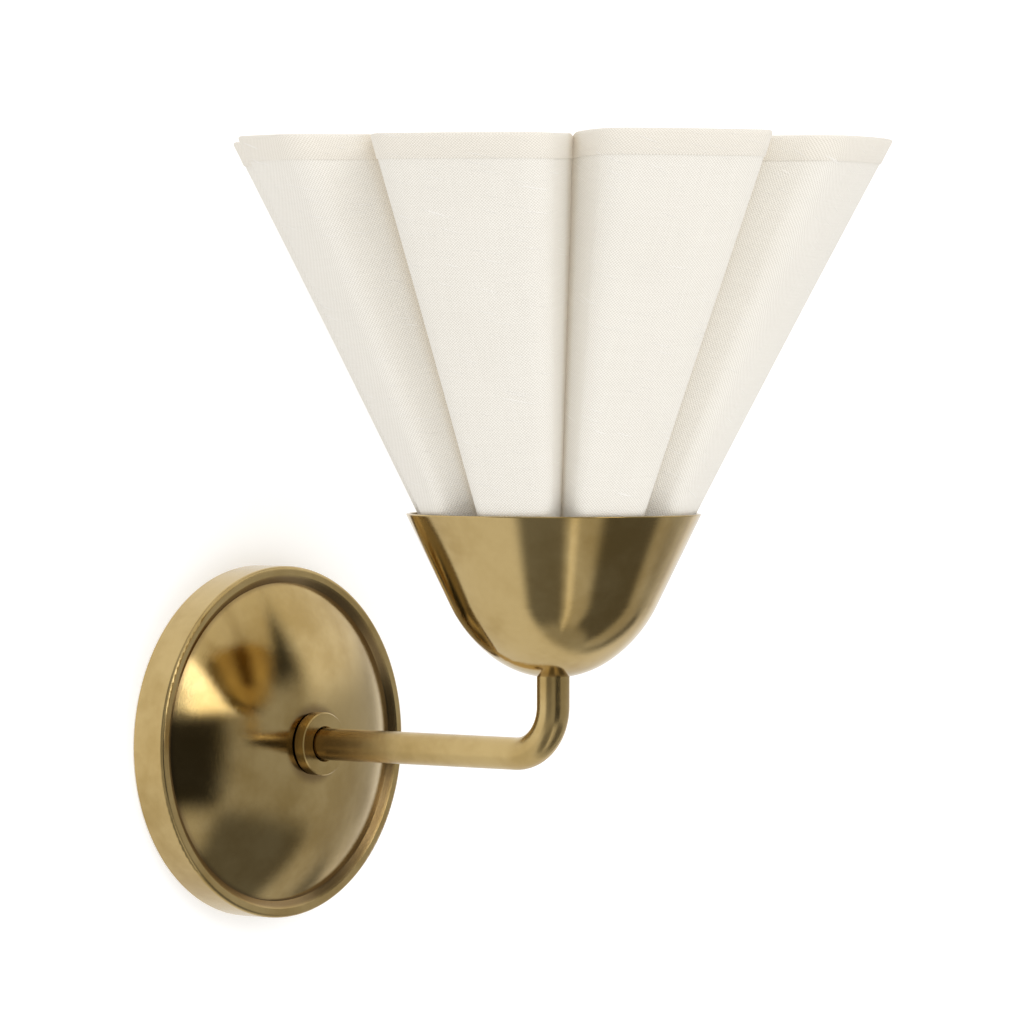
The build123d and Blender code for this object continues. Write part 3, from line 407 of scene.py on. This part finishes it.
# What the weave, the yarn and the clouds add to the tone, and the weave and the yarn to the height.
WEAVE_TONE = 0.80
YARN_TONE = 0.36
CLOUD_TONE = 0.25
WEAVE_HEIGHT = 0.35
YARN_HEIGHT = 0.5
# Layers of the noise that unevenness is taken from.
WARP_LAYER = 0.0
WEFT_LAYER = 3.0
SLUB_LAYER = 7.0


def linen_material(name, light, dark):
    """Plain-weave linen: threads over and under, uneven threads, slubs, faint clouds, and painted shade that
    turns the cloth tan towards the creases between lobes.
    """
    material, tree, shader = new_material(name)
    u, v, _ = separate(tree, put(tree, "ShaderNodeUVMap", uv_map="cut").outputs["UV"])

    def streaks(across, along, layer, detail=2.0):
        """Noise over two coordinates of the cloth, in one layer of the noise."""
        return noise(tree, combine(tree, across, along, layer), 1.0, detail)

    wobble = streaks(times(tree, u, THREAD_WOBBLE), times(tree, v, THREAD_WOBBLE), WARP_LAYER)
    shift = times(tree, wobble, THREAD_WOBBLE_TURN)
    turn = 2 * pi / THREAD_PITCH
    warp = math_node(tree, "SINE", plus(tree, times(tree, u, turn), shift))
    weft = math_node(tree, "SINE", plus(tree, times(tree, v, turn), shift))
    weave = times(tree, warp, weft)
    warp_yarn = streaks(times(tree, u, YARN_ACROSS), times(tree, v, YARN_ALONG), WARP_LAYER)
    weft_yarn = streaks(times(tree, u, YARN_ALONG), times(tree, v, YARN_ACROSS), WEFT_LAYER)
    yarn = plus(tree, warp_yarn, weft_yarn)
    slub_place = plus(tree, times(tree, v, SLUB_ACROSS), times(tree, u, SLUB_SLOPE))
    slub_noise = streaks(times(tree, u, SLUB_ALONG), slub_place, SLUB_LAYER, detail=1.0)
    slub = fade_in(tree, slub_noise, *SLUB_STARTS)
    cloud = noise(tree, object_place(tree), LINEN_CLOUDS, detail=3.0)

    tone = plus(tree, times(tree, weave, WEAVE_TONE), times(tree, yarn, YARN_TONE))
    tone = plus(tree, tone, times(tree, cloud, CLOUD_TONE))
    colour = ramp(tree, tone, (0.05, dark), (0.85, light), "LINEAR")
    colour = mix_colour(tree, times(tree, slub, SLUB_SHARE), colour, SLUB_LIGHT)
    # Painted shade: the cloth turns tan towards each crease between lobes, where shade falls.
    crease_shade_mask = put(tree, "ShaderNodeAttribute", attribute_name="crease_shade_mask").outputs["Fac"]
    valley = times(tree, fade_in(tree, crease_shade_mask, *CREASE_SHADE_STARTS), CREASE_SHADE_SHARE)
    tree.links.new(mix_colour(tree, valley, colour, LINEN_CREASE_SHADE), shader.inputs["Base Color"])
    shader.inputs["Roughness"].default_value = 0.9
    shader.inputs["Sheen Weight"].default_value = 0.25
    shader.inputs["Sheen Roughness"].default_value = 0.4
    shader.inputs["Specular IOR Level"].default_value = 0.2
    height = plus(tree, times(tree, weave, WEAVE_HEIGHT), plus(tree, times(tree, yarn, YARN_HEIGHT), slub))
    bump(tree, shader, height, strength=0.5, distance=0.0003)
    return material


def crest_at(height):
    """Radius of the lobe crests at a height: a straight line from the cup's rim to the shade's top."""
    return RIM_CREST + CREST_SLOPE * (height - CUP_RIM)


def half_lobe(height, inset, front):
    """Half a lobe that faces +X: its points from crest to valley, each with its place from 0 to 1."""
    crest = crest_at(height)
    crest_angle = radians(front)
    shoulder = SHOULDER * crest / TOP_CREST
    centre = Vector((crest - shoulder, 0.0))
    centre.rotate(Matrix.Rotation(crest_angle, 2))
    valley = Vector((cos(pi / LOBES), sin(pi / LOBES))) * crest * VALLEY_SHARE
    reach = valley - centre
    cosine = shoulder / reach.length
    flank = atan2(reach.y, reach.x) - atan2((1 - cosine * cosine) ** 0.5, cosine)
    valley_inset = inset / sin(pi / LOBES + pi / 2 - flank)
    valley = valley.normalized() * (valley.length - valley_inset)
    radius = shoulder - inset
    points = []
    for step in range(CREST_STEPS):
        angle = crest_angle * step / CREST_STEPS
        points.append(Vector((cos(angle), sin(angle))) * (crest - inset))
    for step in range(SHOULDER_STEPS):
        angle = crest_angle + (flank - crest_angle) * step / SHOULDER_STEPS
        points.append(centre + Vector((cos(angle), sin(angle))) * radius)
    flank_top = centre + Vector((cos(flank), sin(flank))) * radius
    for step in range(FLANK_STEPS + 1):
        points.append(flank_top.lerp(valley, step / FLANK_STEPS))
    last = len(points) - 1
    return [(point, index / last) for index, point in enumerate(points)]


def lobed_ring(height, inset):
    """One closed row of the shade, with the sag of its cloth and the unevenness of its top edge."""
    rise = (height - SHADE_BOTTOM) / (SHADE_TOP - SHADE_BOTTOM)
    row = []
    for lobe, (low_front, high_front) in enumerate(LOBE_HALF_ANGLES):
        turn = Matrix.Rotation(2 * pi * (lobe + 0.5) / LOBES - pi / 2, 2)
        low_half = [(Vector((p.x, -p.y)), s) for p, s in reversed(half_lobe(height, inset, low_front))]
        high_half = half_lobe(height, inset, high_front)
        for point, s in low_half[:-1] + high_half[:-1]:
            here = point.copy()
            here.rotate(turn)
            sag = CLOTH_SAG * sin(pi * min(max(rise, 0.0), 1.0)) * (1 - s**SAG_FLATNESS)
            here = here * (1 - sag / here.length)
            lift = LOBE_LIFT[lobe] * max(rise, 0.0) ** LIFT_POWER * (1 - s**LIFT_FLATNESS)
            in_valley = max(0.0, s - 1 + VALLEY_DROP_WIDTH) / VALLEY_DROP_WIDTH
            drop = VALLEY_DROP * max(rise, 0.0) ** VALLEY_DROP_POWER * in_valley**2
            row.append(Vector((here.x, here.y + LAMP_Y, height + lift - drop)))
    return row


def cloth_piece(name, profile, material):
    """A closed piece swept round the shade: profile is a list of (height, inset) round its section."""
    rows = [lobed_ring(height, inset) for height, inset in profile]
    count = len(rows[0])
    per_lobe = count // LOBES
    widest = max(rows, key=lambda row: row[0].z)
    around = [0.0]
    for index in range(count):
        around.append(around[-1] + (widest[(index + 1) % count] - widest[index]).length)
    fan = hypot(SHADE_TOP - APEX_HEIGHT, TOP_CREST)

    def cut(row, column, lobe):
        """Place on the flat cloth: each lobe opens out as a fan about its own middle line."""
        height, inset = profile[row % len(profile)]
        middle = (around[lobe * per_lobe] + around[(lobe + 1) * per_lobe]) / 2
        turn = (around[column] - middle) / fan
        length = hypot(height - APEX_HEIGHT, crest_at(height)) + inset
        return lobe * FAN_SPACING + length * sin(turn), length * cos(turn)

    faces = []
    cuts = []
    for r in range(len(rows)):
        below = r * count
        above = (r + 1) % len(rows) * count
        for c in range(count):
            right = (c + 1) % count
            faces.append((below + c, below + right, above + right, above + c))
            lobe = c // per_lobe
            cuts += [cut(r, c, lobe), cut(r, c + 1, lobe), cut(r + 1, c + 1, lobe), cut(r + 1, c, lobe)]
    mesh = bpy.data.meshes.new(name)
    mesh.from_pydata([point for row in rows for point in row], [], faces)
    for loop, place in zip(mesh.uv_layers.new(name="cut").data, cuts):
        loop.uv = place
    # Mask of the painted crease shade: 1 at each crease between lobes, 0 at each lobe's middle.
    crease_shade_mask = mesh.attributes.new("crease_shade_mask", "FLOAT", "POINT")
    for index, entry in enumerate(crease_shade_mask.data):
        entry.value = abs(2 * (index % per_lobe) / per_lobe - 1)
    mesh.materials.append(material)
    piece = bpy.data.objects.new(name, mesh)
    bpy.context.scene.collection.objects.link(piece)
    for polygon in mesh.polygons:
        polygon.use_smooth = True
    mesh.set_sharp_from_angle(angle=radians(SHARP_ANGLE))
    return piece


def sheet_section(outer, inner):
    """Section of a sheet as high as the shade: up its outer face and down its inner face."""
    heights = [SHADE_BOTTOM + (SHADE_TOP - SHADE_BOTTOM) * row / CLOTH_ROWS for row in range(CLOTH_ROWS + 1)]
    return [(height, outer) for height in heights] + [(height, inner) for height in reversed(heights)]


def round_section(height, inset, radius, sweep, steps, count):
    """Points of a section on an arc that starts on its outer side and rises."""
    angles = [sweep * step / steps for step in range(count)]
    return [(height + radius * sin(angle), inset - radius * cos(angle)) for angle in angles]


def hem_section():
    """Section of the hem: up outside the linen, over the top wire and down inside the liner, and back."""
    low = SHADE_TOP - HEM_HEIGHT
    inner_low = SHADE_TOP - HEM_INSIDE_HEIGHT
    fold_base = SHADE_TOP + HEM_FOLD - HEM_FOLD_RADIUS
    bend = SHADE_TOP - HEM_BEND_DROP
    on_liner = LINER_INNER + LAYER_GAP
    outer_skin = [(low, HEM_OUTSIDE), (low + HEM_SEAM_HEIGHT, HEM_OUTSIDE - HEM_SEAM_BULGE)]
    outer_skin += [(low + HEM_FLAT_HEIGHT, HEM_OUTSIDE)]
    outer_skin += round_section(fold_base, HEM_FOLD_MIDDLE, HEM_FOLD_RADIUS, pi, FOLD_STEPS, FOLD_STEPS + 1)
    outer_skin += [(bend, HEM_INSIDE - HEM_BEND_EASE)]
    outer_skin += [(inner_low + HEM_LIP, on_liner + HEM_THICKNESS), (inner_low, on_liner + HEM_THICKNESS)]
    inner_radius = HEM_FOLD_RADIUS - HEM_TURNED_THICKNESS
    inner_skin = [(low, -LAYER_GAP), (low + HEM_FLAT_HEIGHT, -LAYER_GAP)]
    inner_skin += round_section(fold_base, HEM_FOLD_MIDDLE, inner_radius, pi, FOLD_STEPS, FOLD_STEPS + 1)
    inner_skin += [(bend, HEM_INSIDE - HEM_TURNED_THICKNESS - HEM_BEND_EASE)]
    inner_skin += [(inner_low + HEM_LIP, on_liner), (inner_low, on_liner)]
    return outer_skin + inner_skin[::-1]


def perimeter_at(height):
    """Length of the cloth round the shade at a height."""
    total = 0.0
    for fronts in LOBE_HALF_ANGLES:
        for front in fronts:
            half = [point for point, _ in half_lobe(height, 0.0, front)]
            total += sum((b - a).length for a, b in zip(half, half[1:]))
    return total


def add_cloth(name, section, material, node):
    """A piece of the shade in place of a CAD node."""
    piece = cloth_piece(name, section, material)
    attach(piece, "shade")
    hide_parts(node)
    return piece


def make_cloth():
    """Linen, liner, hem and the round top wire, and the cloth's length round the shade's top."""
    linen_look = linen_material("linen_cloth", (0.93, 0.905, 0.85), (0.74, 0.71, 0.645))
    hem_look = linen_material("linen_hem", (0.91, 0.87, 0.80), (0.73, 0.69, 0.61))
    liner_look = plain_solid("liner_film", (0.86, 0.85, 0.82), 0.5, 600.0, 0.04)
    wire_look = plain_solid("coated_wire", (0.84, 0.83, 0.80), 0.3, 500.0, 0.03, 0.2)
    wire_inset = LINER_INNER + WIRE_GAP / 2 + TOP_WIRE_RADIUS
    wire_height = SHADE_TOP - TOP_WIRE_RADIUS - WIRE_GAP
    wire_section = round_section(wire_height, wire_inset, TOP_WIRE_RADIUS, 2 * pi, WIRE_STEPS, WIRE_STEPS)
    linen = add_cloth("linen_cover", sheet_section(0.0, LINEN_THICKNESS), linen_look, "shade_linen")
    liner_section = sheet_section(LINER_OUTER, LINER_INNER)
    liner = add_cloth("liner_cover", liner_section, liner_look, "shade_liner")
    hem = add_cloth("hem_tape", hem_section(), hem_look, "shade_hem")
    add_cloth("top_wire", wire_section, wire_look, "shade_top_wire")

    width = perimeter_at(SHADE_TOP)


# ================================================================ finish of the CAD nodes
def dress_nodes():
    """Gives every CAD node its material: its own, or that of its material slot."""
    own = {
        "backplate": plate_brass(),
        "cup": cup_brass(),
        "arm": arm_brass(),
        "collar": collar_brass(),
    }
    by_slot = {
        "zinc_steel": plain_metal("zinc_bracket", (0.55, 0.56, 0.57), (0.38, 0.39, 0.41), 0.32, 60.0),
        "plain_brass": plain_metal("turned_brass", (0.70, 0.53, 0.25), (0.52, 0.37, 0.16), 0.22, 80.0),
        "nickel": plain_metal("nickel_plate", (0.66, 0.63, 0.58), (0.50, 0.47, 0.42), 0.18, 80.0),
        "solder": plain_metal("solder_tip", (0.56, 0.56, 0.55), (0.40, 0.40, 0.40), 0.35, 120.0),
        "green_screw": plain_metal("green_screw", (0.10, 0.42, 0.16), (0.06, 0.28, 0.10), 0.30, 90.0),
        "white_plastic": plain_solid("moulded_nylon", (0.80, 0.79, 0.75), 0.42),
        "black_phenolic": plain_solid("black_phenolic", (0.035, 0.035, 0.036), 0.38, 700.0, 0.08),
        "ceramic": plain_solid("glazed_ceramic", (0.82, 0.81, 0.77), 0.18, 300.0, 0.04, 0.4),
        "brown_lead": plain_solid("brown_insulation", (0.23, 0.10, 0.045), 0.40),
        "blue_lead": plain_solid("blue_insulation", (0.06, 0.16, 0.50), 0.40),
        "green_lead": plain_solid("green_insulation", (0.15, 0.42, 0.08), 0.40),
        "white_wire": plain_solid("epoxy_wire", (0.84, 0.83, 0.80), 0.30, 500.0, 0.03, 0.2),
        "opal_glass": plain_solid("opal_glass", (0.88, 0.87, 0.84), 0.16, 200.0, 0.01, 0.3),
        "black_glass": plain_solid("vitrite", (0.012, 0.012, 0.014), 0.12, 200.0, 0.01, 0.3),
        "aged_brass": own["collar"],
        # Cloth pieces replace the nodes of these two slots, so their material isn't seen.
        "linen": own["collar"],
        "white_liner": own["collar"],
    }
    for part in frame["record"]["subparts"]:
        look = own.get(part["node"], by_slot[part["material_slot"]])
        node = frame["nodes"][part["node"]]
        node.data.materials.clear()
        node.data.materials.append(look)


# ================================================================ stage, lights, camera
STAGE_REACH = 4.0
WALL_PLACE = 0.0006
FLOOR_HEIGHT = -0.55
BACKDROP_COLOUR = (0.90, 0.90, 0.90)
BACKDROP_LIFT = 0.32
KEY_PLACE = (-0.9, -2.2, 1.6)
KEY_TARGET = (0.0, LAMP_Y, 0.08)
KEY_SIZE = 1.5
KEY_WATTS = 15.0
WORLD_LEVEL = 1.0
WORLD_TINT = (1.0, 0.985, 0.96)

# What metal sees of the studio: limits of azimuth and of elevation in degrees, softness and brightness.
# Azimuth 0 is out from the wall, 90 is to the right along the wall. Each panel covers those before it.
STUDIO_MID = 0.40
STUDIO_PANELS = [
    ((-180, 180), (50, 100), 14, 0.50),
    ((46, 100), (8, 46), 8, 0.90),
    ((46, 100), (-26, 6), 8, 0.46),
    ((98, 182), (-60, 80), 6, 0.95),
    ((-182, -98), (-70, 80), 5, 0.92),
    ((-100, -60), (-14, 40), 8, 0.24),
    ((-34, 3), (-26, 9), 4, 0.03),
    ((-92, -38), (-68, -30), 4, 0.19),
    ((-34, -2), (-68, -30), 4, 0.55),
    ((-31, -23), (-72, -34), 2, 1.00),
    ((3, 56), (-66, -26), 4, 0.14),
    ((59, 74), (-66, -28), 3, 0.50),
    ((78, 94), (-66, -28), 3, 0.16),
    ((18, 44), (16, 46), 4, 0.05),
    ((-14, 8), (10, 35), 2, 2.5),
]
BEHIND_LEVEL = 0.80
BEHIND_STARTS = (-0.12, 0.05)
BEHIND_TOP = (-0.5, -0.2)

CAMERA_PLACE = Vector((-2.1685, -2.0451, 0.1597))
CAMERA_YAW = -48.635
CAMERA_PITCH = 1.313
CAMERA_ROLL = -0.114
CAMERA_LENS = 262.7
CAMERA_SENSOR = 36.0
CAMERA_REACH = 50.0


def backdrop_material():
    """Pale paper that shows white to the camera, keeps the object's shadow and is clear from behind."""
    material, tree, shader = new_material("pale_backdrop")
    tree.nodes.remove(shader)
    paper = put(tree, "ShaderNodeBsdfDiffuse")
    paper.inputs["Color"].default_value = (*BACKDROP_COLOUR, 1.0)
    glow = put(tree, "ShaderNodeEmission")
    seen = put(tree, "ShaderNodeLightPath").outputs["Is Camera Ray"]
    tree.links.new(times(tree, seen, BACKDROP_LIFT), glow.inputs["Strength"])
    both = put(tree, "ShaderNodeAddShader")
    tree.links.new(paper.outputs[0], both.inputs[0])
    tree.links.new(glow.outputs[0], both.inputs[1])
    clear = put(tree, "ShaderNodeBsdfTransparent")
    choose = put(tree, "ShaderNodeMixShader")
    tree.links.new(put(tree, "ShaderNodeNewGeometry").outputs["Backfacing"], choose.inputs[0])
    tree.links.new(both.outputs[0], choose.inputs[1])
    tree.links.new(clear.outputs[0], choose.inputs[2])
    tree.links.new(choose.outputs[0], tree.nodes["Material Output"].inputs["Surface"])
    return material


def stage_plane(name, corners, material):
    """A flat piece of the stage that neither blocks light nor shows in the metal."""
    mesh = bpy.data.meshes.new(name)
    mesh.from_pydata(corners, [], [(0, 1, 2, 3)])
    mesh.materials.append(material)
    plane = bpy.data.objects.new(name, mesh)
    bpy.context.scene.collection.objects.link(plane)
    plane.visible_shadow = False
    plane.visible_diffuse = False
    plane.visible_glossy = False
    plane.visible_transmission = False


def make_stage():
    """Wall behind the light and floor below it."""
    paper = backdrop_material()
    left, right = -STAGE_REACH, STAGE_REACH
    near, far = -2 * STAGE_REACH, STAGE_REACH
    floor, top = FLOOR_HEIGHT, STAGE_REACH
    wall_base = [(left, WALL_PLACE, floor), (right, WALL_PLACE, floor)]
    stage_plane("studio_wall", wall_base + [(right, WALL_PLACE, top), (left, WALL_PLACE, top)], paper)
    floor_front = [(left, near, floor), (right, near, floor)]
    stage_plane("studio_floor", floor_front + [(right, far, floor), (left, far, floor)], paper)


def make_key_light():
    """A soft square lamp in front of the light, to its left and above it, that metal doesn't see."""
    data = bpy.data.lights.new("key", "AREA")
    data.shape = "SQUARE"
    data.size = KEY_SIZE
    data.energy = KEY_WATTS
    lamp = bpy.data.objects.new("key", data)
    lamp.location = KEY_PLACE
    lamp.rotation_mode = "QUATERNION"
    lamp.rotation_quaternion = (Vector(KEY_TARGET) - Vector(KEY_PLACE)).to_track_quat("-Z", "Y")
    lamp.visible_glossy = False
    bpy.context.scene.collection.objects.link(lamp)


def studio_level(tree):
    """Brightness of the studio in each direction, as metal sees it."""
    x, y, z = separate(tree, put(tree, "ShaderNodeTexCoord").outputs["Generated"])
    azimuth = times(tree, math_node(tree, "ARCTAN2", x, times(tree, y, -1.0)), 180 / pi)
    elevation = times(tree, math_node(tree, "ARCSINE", z), 180 / pi)
    level = STUDIO_MID

    def cover(level, share, brightness):
        """Moves the level towards a brightness by a share."""
        return plus(tree, level, times(tree, share, minus(tree, brightness, level)))

    for (a0, a1), (e0, e1), soft, brightness in STUDIO_PANELS:
        started = times(tree, fade_in(tree, azimuth, a0 - soft, a0 + soft),
                        fade_in(tree, elevation, e0 - soft, e0 + soft))
        unfinished = times(tree, fade_out(tree, azimuth, a1 - soft, a1 + soft),
                           fade_out(tree, elevation, e1 - soft, e1 + soft))
        level = cover(level, times(tree, started, unfinished), brightness)
    behind = times(tree, fade_in(tree, y, *BEHIND_STARTS), fade_out(tree, z, *BEHIND_TOP))
    return cover(level, behind, BEHIND_LEVEL)


def make_world():
    """Even light all round; white to the camera, and a plain studio of panels and flags to metal."""
    world = bpy.data.worlds.new("studio")
    bpy.context.scene.world = world
    world.use_nodes = True
    tree = world.node_tree
    rays = put(tree, "ShaderNodeLightPath")
    glossy = rays.outputs["Is Glossy Ray"]
    camera = rays.outputs["Is Camera Ray"]
    plain = times(tree, minus(tree, 1.0, glossy), WORLD_LEVEL)
    strength = plus(tree, plain, times(tree, glossy, studio_level(tree)))
    strength = plus(tree, times(tree, minus(tree, 1.0, camera), strength), camera)
    background = tree.nodes["Background"]
    tree.links.new(strength, background.inputs["Strength"])
    background.inputs["Color"].default_value = (*WORLD_TINT, 1.0)


def make_camera():
    """The photograph's viewpoint, from a camera fitted to the object's known sizes."""
    data = bpy.data.cameras.new("camera")
    data.lens = CAMERA_LENS
    data.sensor_width = CAMERA_SENSOR
    data.clip_end = CAMERA_REACH
    camera = bpy.data.objects.new("camera", data)
    yaw, pitch, roll = (radians(angle) for angle in (CAMERA_YAW, CAMERA_PITCH, CAMERA_ROLL))
    back = Vector((sin(yaw) * cos(pitch), -cos(yaw) * cos(pitch), sin(pitch)))
    right = Vector((cos(yaw), sin(yaw), 0.0))
    up = back.cross(right)
    x_axis = cos(roll) * right - sin(roll) * up
    y_axis = sin(roll) * right + cos(roll) * up
    turn = Matrix((x_axis, y_axis, back)).transposed().to_4x4()
    camera.matrix_world = Matrix.Translation(CAMERA_PLACE) @ turn
    bpy.context.scene.collection.objects.link(camera)
    bpy.context.scene.camera = camera


dress_nodes()
make_cloth()
make_stage()
make_world()
make_key_light()
make_camera()

bpy.context.scene.view_settings.view_transform = "Standard"
